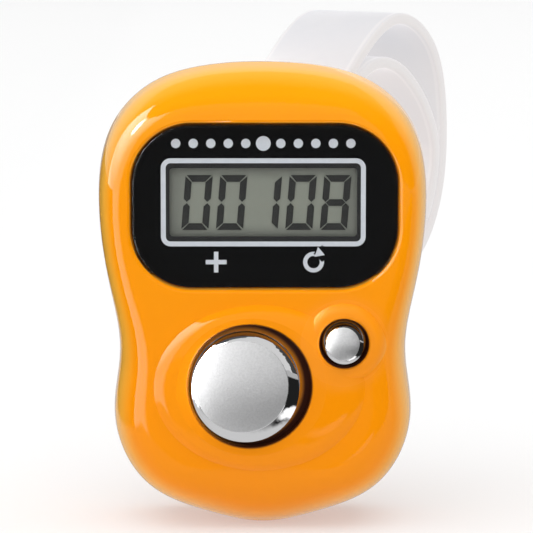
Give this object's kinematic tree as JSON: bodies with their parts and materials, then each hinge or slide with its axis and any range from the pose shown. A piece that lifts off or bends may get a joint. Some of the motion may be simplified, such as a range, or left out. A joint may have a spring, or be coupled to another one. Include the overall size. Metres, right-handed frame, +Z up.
{
  "type": "digital tasbih counter",
  "caption": "Palm-sized digital tasbih counter with a rounded waisted case, segment display behind a dark window, count and reset keys and a soft finger strap.",
  "frame": {"origin": "middle of the small flat under the case, on the seam between its two halves", "axes": "+Z up along the case, -Y out of the display, +X to the right of someone looking at the display"},
  "size_m": [0.0302, 0.0393, 0.0411],
  "materials": {
    "case_orange": "glossy",
    "window_clear": "polished",
    "print_black": "printed behind the window",
    "print_white": "printed behind the window",
    "lcd_segment": "dark liquid crystal",
    "lcd_film": "grey polarizing film",
    "lcd_glass": "polished",
    "lcd_mirror": "silver reflector film",
    "holder_white": "moulded",
    "strip_rubber": "layered conductive rubber",
    "board_green": "coated laminate",
    "pad_gold": "plated",
    "resin_black": "cured resin",
    "component_tan": "ceramic",
    "silicone_grey": "soft",
    "plated_key": "satin face, polished rim",
    "carbon_black": "carbon filled",
    "cell_steel": "nickel plated",
    "seal_black": "moulded",
    "contact_brass": "sprung sheet",
    "screw_steel": "plated",
    "strap_milky": "translucent, soft"
  },
  "bodies": {
    "case": {"front_shell": "case_orange", "back_shell": "case_orange", "window_lens": "window_clear", "window_mask": "print_black", "window_frame_line": "print_white", "window_marks": "print_white", "lcd_segments": "lcd_segment", "lcd_polarizer": "lcd_film", "lcd_front_glass": "lcd_glass", "lcd_rear_glass": "lcd_glass", "lcd_reflector": "lcd_mirror", "lcd_holder": "holder_white", "contact_strip": "strip_rubber", "circuit_board": "board_green", "key_pads": "pad_gold", "chip_drop": "resin_black", "board_components": "component_tan", "keypad_mat": "silicone_grey", "count_dome": "silicone_grey", "reset_dome": "silicone_grey", "cell_can": "cell_steel", "cell_seal": "seal_black", "cell_cover": "cell_steel", "negative_contact": "contact_brass", "positive_contact": "contact_brass", "case_screws": "screw_steel", "board_screws": "screw_steel", "strap_run": "strap_milky"},
    "count_key": {"count_button": "plated_key", "count_plunger": "silicone_grey", "count_pill": "carbon_black"},
    "reset_key": {"reset_button": "plated_key", "reset_plunger": "silicone_grey", "reset_pill": "carbon_black"},
    "cell_lid": {"battery_cap": "case_orange"},
    "strap": {"strap_loop": "strap_milky", "strap_tail": "strap_milky", "strap_stud": "strap_milky"}
  },
  "joints": [
    {"name": "count_press", "type": "slide", "parent": "case", "child": "count_key", "axis": [0, 1, 0], "range_m": [0, 0.0008], "stiffness_N_per_m": 1500, "deforming": ["count_dome"]},
    {"name": "reset_press", "type": "slide", "parent": "case", "child": "reset_key", "axis": [0, 1, 0], "range_m": [0, 0.0006], "stiffness_N_per_m": 1500, "deforming": ["reset_dome"]},
    {"name": "cell_lid_turn", "type": "hinge", "parent": "case", "child": "cell_lid", "pos_m": [0, 0.0032, 0.0122], "axis": [0, 1, 0], "range_deg": [0, 45]},
    {"name": "strap_swing", "type": "hinge", "parent": "case", "child": "strap", "pos_m": [0, 0.0069, 0.0255], "axis": [0, 0, 1], "range_deg": [0, 70]}
  ]
}
